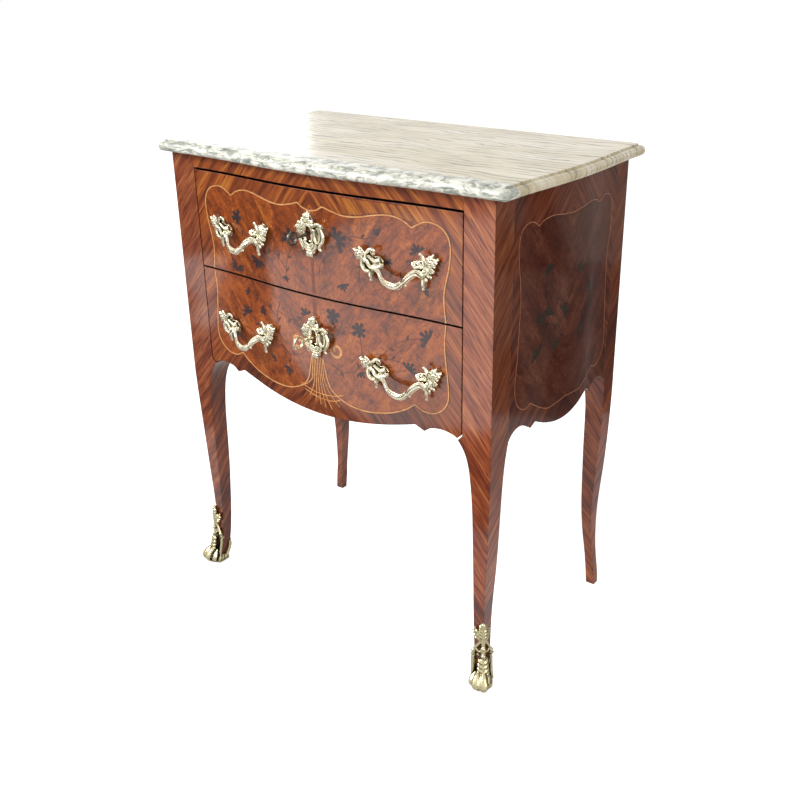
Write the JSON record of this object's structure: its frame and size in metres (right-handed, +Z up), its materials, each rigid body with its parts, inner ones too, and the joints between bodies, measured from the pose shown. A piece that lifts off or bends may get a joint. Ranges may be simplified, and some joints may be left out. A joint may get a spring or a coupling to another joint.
{
  "type": "commode chest",
  "caption": "Small serpentine-front commode on cabriole legs with a moulded marble top, locking drawers, marquetry veneer, gilt bronze handles, escutcheons and foot shoes.",
  "frame": {"origin": "on the floor, under the middle of the whole piece's box", "axes": "+Z up, the drawers open towards -Y, +X to the right of someone facing the front"},
  "size_m": [0.698, 0.4494, 0.8],
  "materials": {
    "marble": "polished breccia marble",
    "kingwood": "french polished kingwood veneer, straight grain",
    "marquetry": "french polished quarter-matched veneer with marquetry",
    "oak": "plain oak, waxed",
    "gilt_bronze": "cast, chased and gilt",
    "steel": "filed bright steel",
    "iron": "old dark iron"
  },
  "bodies": {
    "carcase": {"marble_top": "marble", "front_left_leg": "kingwood", "front_right_leg": "kingwood", "back_left_leg": "kingwood", "back_right_leg": "kingwood", "left_sabot": "gilt_bronze", "right_sabot": "gilt_bronze", "sabot_pins": "gilt_bronze", "left_side_panel": "marquetry", "right_side_panel": "marquetry", "top_front_rail": "kingwood", "back_panel": "oak", "top_back_rail": "oak", "middle_rail": "oak", "bottom_front_rail": "oak", "bottom_board": "oak", "drawer_stops": "oak", "left_kicker": "oak", "upper_left_runner": "oak", "upper_left_guide": "oak", "lower_left_runner": "oak", "lower_left_guide": "oak", "right_kicker": "oak", "upper_right_runner": "oak", "upper_right_guide": "oak", "lower_right_runner": "oak", "lower_right_guide": "oak"},
    "top_drawer": {"top_drawer_front": "marquetry", "top_drawer_left_side": "oak", "top_drawer_right_side": "oak", "top_drawer_back": "oak", "top_drawer_bottom": "oak", "top_left_handle": "gilt_bronze", "top_right_handle": "gilt_bronze", "top_handle_bolts": "iron", "top_escutcheon": "gilt_bronze", "top_escutcheon_pins": "gilt_bronze", "top_lock_case": "steel", "top_lock_screws": "steel"},
    "bottom_drawer": {"bottom_drawer_front": "marquetry", "bottom_drawer_left_side": "oak", "bottom_drawer_right_side": "oak", "bottom_drawer_back": "oak", "bottom_drawer_bottom": "oak", "bottom_left_handle": "gilt_bronze", "bottom_right_handle": "gilt_bronze", "bottom_handle_bolts": "iron", "bottom_escutcheon": "gilt_bronze", "bottom_escutcheon_pins": "gilt_bronze", "bottom_lock_case": "steel", "bottom_lock_screws": "steel"},
    "top_key": {"top_key": "steel"},
    "bottom_key": {"bottom_key": "gilt_bronze"},
    "top_bolt": {"top_lock_bolt": "steel"},
    "bottom_bolt": {"bottom_lock_bolt": "steel"}
  },
  "joints": [
    {"name": "top_drawer_slide", "type": "slide", "parent": "carcase", "child": "top_drawer", "axis": [0, -1, 0], "range_m": [0, 0.26]},
    {"name": "top_key_turn", "type": "hinge", "parent": "top_drawer", "child": "top_key", "pos_m": [0, -0.165, 0.6945], "axis": [0, 1, 0], "range_deg": [0, 180]},
    {"name": "top_bolt_slide", "type": "slide", "parent": "top_drawer", "child": "top_bolt", "axis": [0, 0, 1], "range_m": [0, 0.01]},
    {"name": "bottom_drawer_slide", "type": "slide", "parent": "carcase", "child": "bottom_drawer", "axis": [0, -1, 0], "range_m": [0, 0.26]},
    {"name": "bottom_key_turn", "type": "hinge", "parent": "bottom_drawer", "child": "bottom_key", "pos_m": [0, -0.165, 0.5315], "axis": [0, 1, 0], "range_deg": [0, 180]},
    {"name": "bottom_bolt_slide", "type": "slide", "parent": "bottom_drawer", "child": "bottom_bolt", "axis": [0, 0, 1], "range_m": [0, 0.01]}
  ],
  "couplings": [
    {"joint": "top_key_turn", "follows": "top_bolt_slide", "rad_per_m": 314.15},
    {"joint": "bottom_key_turn", "follows": "bottom_bolt_slide", "rad_per_m": 314.15}
  ]
}
